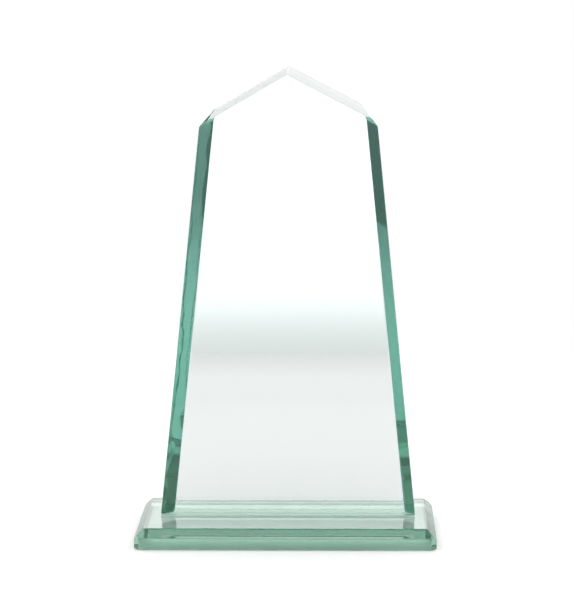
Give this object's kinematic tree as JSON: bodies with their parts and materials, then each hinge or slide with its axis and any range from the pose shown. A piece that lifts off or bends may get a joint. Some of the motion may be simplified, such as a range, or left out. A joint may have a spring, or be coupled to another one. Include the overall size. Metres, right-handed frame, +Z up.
{
  "type": "glass obelisk award",
  "caption": "Tall leaning-sided glass plate with a gabled top and bevelled edges, bonded upright on a bevelled glass base.",
  "frame": {"origin": "centre of the base plate's underside, on the surface the award stands on", "axes": "+Z up, the front face looks along -Y, and X runs across the width"},
  "size_m": [0.1528, 0.06, 0.2402],
  "materials": {
    "jade_glass": "polished",
    "adhesive": "clear cured film"
  },
  "bodies": {
    "root": {"base_plate": "jade_glass", "upright_plate": "jade_glass", "bond_film": "adhesive"}
  },
  "joints": []
}
